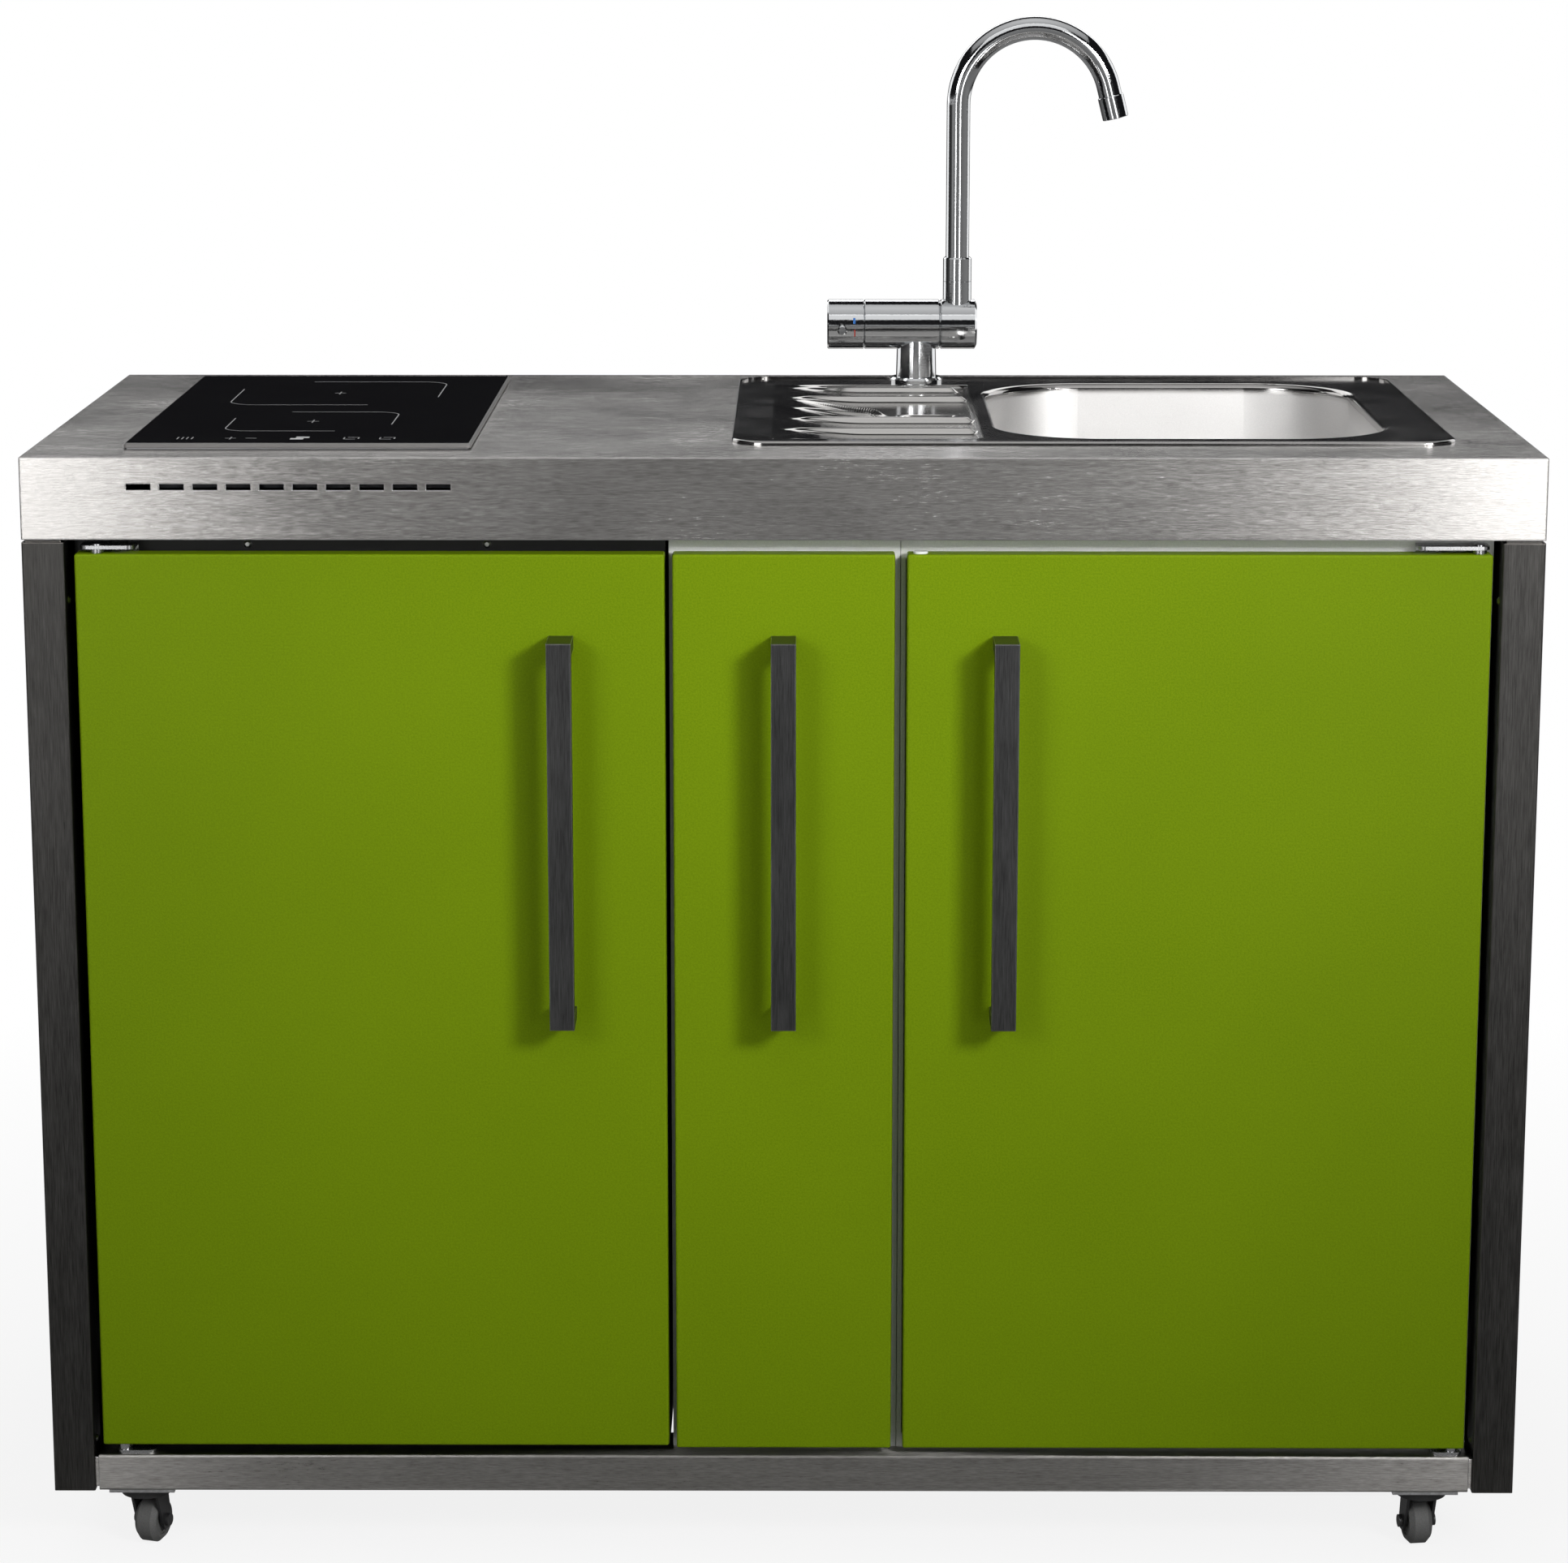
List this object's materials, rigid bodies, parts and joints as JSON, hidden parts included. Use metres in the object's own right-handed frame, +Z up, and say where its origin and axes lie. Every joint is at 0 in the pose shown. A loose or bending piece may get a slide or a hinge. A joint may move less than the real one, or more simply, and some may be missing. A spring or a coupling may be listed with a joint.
{
  "type": "outdoor kitchen unit",
  "caption": "Free-standing outdoor kitchen on casters with ceramic hob, pressed sink, folding tap, refrigerator, pull-out and cupboard.",
  "frame": {"origin": "on the floor below the middle of the whole outline, handles included", "axes": "+Z up, +X to the right of a person facing the doors, doors and handles towards -Y"},
  "size_m": [1.25, 0.64, 1.2902],
  "materials": {
    "worktop_steel": "satin brushed stainless steel",
    "leg_steel": "brushed stainless steel",
    "rail_steel": "brushed stainless steel",
    "panel_steel": "dark powder coat",
    "case_steel": "light powder coat",
    "door_green": "satin green powder coat with fine grain",
    "handle_dark": "dark brushed steel",
    "zinc": "zinc plated steel",
    "hinge_steel": "stainless steel",
    "tap_chrome": "polished chrome",
    "sink_steel": "satin stainless steel",
    "hob_black": "black ceramic glass",
    "hob_housing": "galvanised sheet",
    "fridge_housing": "dark coat",
    "white_plastic": "white moulded plastic",
    "shelf_glass": "clear tempered glass",
    "seal_rubber": "matt rubber",
    "evaporator_aluminium": "coated aluminium",
    "compressor_black": "black enamel",
    "trap_plastic": "white plastic",
    "fastening_brass": "turned brass",
    "wheel_rubber": "grey rubber",
    "caster_black": "black plastic"
  },
  "bodies": {
    "unit": {"worktop": "worktop_steel", "leg_front_left": "leg_steel", "leg_front_right": "leg_steel", "leg_back_left": "leg_steel", "leg_back_right": "leg_steel", "front_rail": "rail_steel", "back_rail": "rail_steel", "side_panel_left": "panel_steel", "side_panel_right": "panel_steel", "back_panel": "panel_steel", "frame_screws": "zinc", "fridge_case": "fridge_housing", "fridge_liner": "white_plastic", "fridge_shelves": "shelf_glass", "fridge_evaporator": "evaporator_aluminium", "fridge_compressor": "compressor_black", "fridge_condenser": "compressor_black", "fridge_hinge_top": "hinge_steel", "fridge_hinge_bottom": "hinge_steel", "pull_out_case": "case_steel", "pull_out_outer_rails": "zinc", "sink_case": "case_steel", "sink_hinge_top": "hinge_steel", "sink_hinge_bottom": "hinge_steel", "sink": "sink_steel", "sink_waste": "sink_steel", "sink_trap": "trap_plastic", "tap_body": "tap_chrome", "tap_fastening": "fastening_brass", "hob_glass": "hob_black", "hob_box": "hob_housing", "caster_plates": "zinc"},
    "fridge_door": {"fridge_door_panel": "door_green", "fridge_door_liner": "white_plastic", "fridge_door_seal": "seal_rubber", "fridge_handle": "handle_dark"},
    "thermostat": {"thermostat_knob": "white_plastic"},
    "pull_out": {"pull_out_front": "door_green", "pull_out_basket": "case_steel", "pull_out_handle": "handle_dark", "pull_out_inner_rails": "zinc"},
    "pull_out_middle": {"pull_out_middle_rails": "zinc"},
    "sink_door": {"sink_door_panel": "door_green", "sink_handle": "handle_dark", "sink_door_cap": "white_plastic"},
    "strainer": {"sink_strainer": "sink_steel"},
    "mixer_stem": {"tap_stem": "tap_chrome"},
    "mixer_cap": {"tap_cap": "tap_chrome", "tap_lever": "tap_chrome"},
    "folding_block": {"tap_fold_block": "tap_chrome"},
    "spout": {"tap_spout": "tap_chrome", "tap_aerator": "tap_chrome"},
    "caster_front_left": {"caster_fork_front_left": "caster_black"},
    "wheel_front_left": {"caster_wheel_front_left": "wheel_rubber"},
    "caster_front_right": {"caster_fork_front_right": "caster_black"},
    "wheel_front_right": {"caster_wheel_front_right": "wheel_rubber"},
    "caster_back_left": {"caster_fork_back_left": "caster_black"},
    "wheel_back_left": {"caster_wheel_back_left": "wheel_rubber"},
    "caster_back_right": {"caster_fork_back_right": "caster_black"},
    "wheel_back_right": {"caster_wheel_back_right": "wheel_rubber"}
  },
  "joints": [
    {"name": "fridge_door_hinge", "type": "hinge", "parent": "unit", "child": "fridge_door", "pos_m": [-0.5645, -0.27, 0.487], "axis": [0, 0, -1], "range_deg": [0, 105]},
    {"name": "thermostat_turn", "type": "hinge", "parent": "unit", "child": "thermostat", "pos_m": [-0.1353, -0.169, 0.7975], "axis": [-1, 0, 0], "range_deg": [0, 270]},
    {"name": "pull_out_slide", "type": "slide", "parent": "unit", "child": "pull_out", "axis": [0, -1, 0], "range_m": [0, 0.4]},
    {"name": "pull_out_middle_slide", "type": "slide", "parent": "unit", "child": "pull_out_middle", "axis": [0, -1, 0], "range_m": [0, 0.2]},
    {"name": "sink_door_hinge", "type": "hinge", "parent": "unit", "child": "sink_door", "pos_m": [0.572, -0.27, 0.486], "axis": [0, 0, 1], "range_deg": [0, 105]},
    {"name": "strainer_lift", "type": "slide", "parent": "unit", "child": "strainer", "axis": [0, 0, 1], "range_m": [0, 0.16]},
    {"name": "mixer_temperature", "type": "hinge", "parent": "unit", "child": "mixer_stem", "pos_m": [0.0725, 0.254, 1.007], "axis": [1, 0, 0], "range_deg": [-45, 45]},
    {"name": "mixer_flow", "type": "hinge", "parent": "mixer_stem", "child": "mixer_cap", "pos_m": [0.0725, 0.254, 1.007], "axis": [0, 0, -1], "range_deg": [0, 15]},
    {"name": "spout_fold", "type": "hinge", "parent": "unit", "child": "folding_block", "pos_m": [0.1434, 0.254, 1.007], "axis": [1, 0, 0], "range_deg": [0, 90]},
    {"name": "spout_swivel", "type": "hinge", "parent": "folding_block", "child": "spout", "pos_m": [0.1592, 0.254, 1.0474], "axis": [0, 0, 1], "continuous": true},
    {"name": "caster_swivel_front_left", "type": "hinge", "parent": "unit", "child": "caster_front_left", "pos_m": [-0.5505, -0.25, 0.05], "axis": [0, 0, 1], "continuous": true},
    {"name": "caster_roll_front_left", "type": "hinge", "parent": "caster_front_left", "child": "wheel_front_left", "pos_m": [-0.5471, -0.23954, 0.02], "axis": [0.9511, -0.309, 0], "continuous": true},
    {"name": "caster_swivel_front_right", "type": "hinge", "parent": "unit", "child": "caster_front_right", "pos_m": [0.5505, -0.25, 0.05], "axis": [0, 0, 1], "continuous": true},
    {"name": "caster_roll_front_right", "type": "hinge", "parent": "caster_front_right", "child": "wheel_front_right", "pos_m": [0.54897, -0.23911, 0.02], "axis": [0.9903, 0.1392, 0], "continuous": true},
    {"name": "caster_swivel_back_left", "type": "hinge", "parent": "unit", "child": "caster_back_left", "pos_m": [-0.5505, 0.29, 0.05], "axis": [0, 0, 1], "continuous": true},
    {"name": "caster_roll_back_left", "type": "hinge", "parent": "caster_back_left", "child": "wheel_back_left", "pos_m": [-0.55279, 0.27924, 0.02], "axis": [-0.9781, 0.2079, 0], "continuous": true},
    {"name": "caster_swivel_back_right", "type": "hinge", "parent": "unit", "child": "caster_back_right", "pos_m": [0.5505, 0.29, 0.05], "axis": [0, 0, 1], "continuous": true},
    {"name": "caster_roll_back_right", "type": "hinge", "parent": "caster_back_right", "child": "wheel_back_right", "pos_m": [0.55335, 0.27937, 0.02], "axis": [-0.9659, -0.2588, 0], "continuous": true}
  ],
  "couplings": [
    {"joint": "pull_out_middle_slide", "follows": "pull_out_slide", "ratio": 0.5}
  ]
}
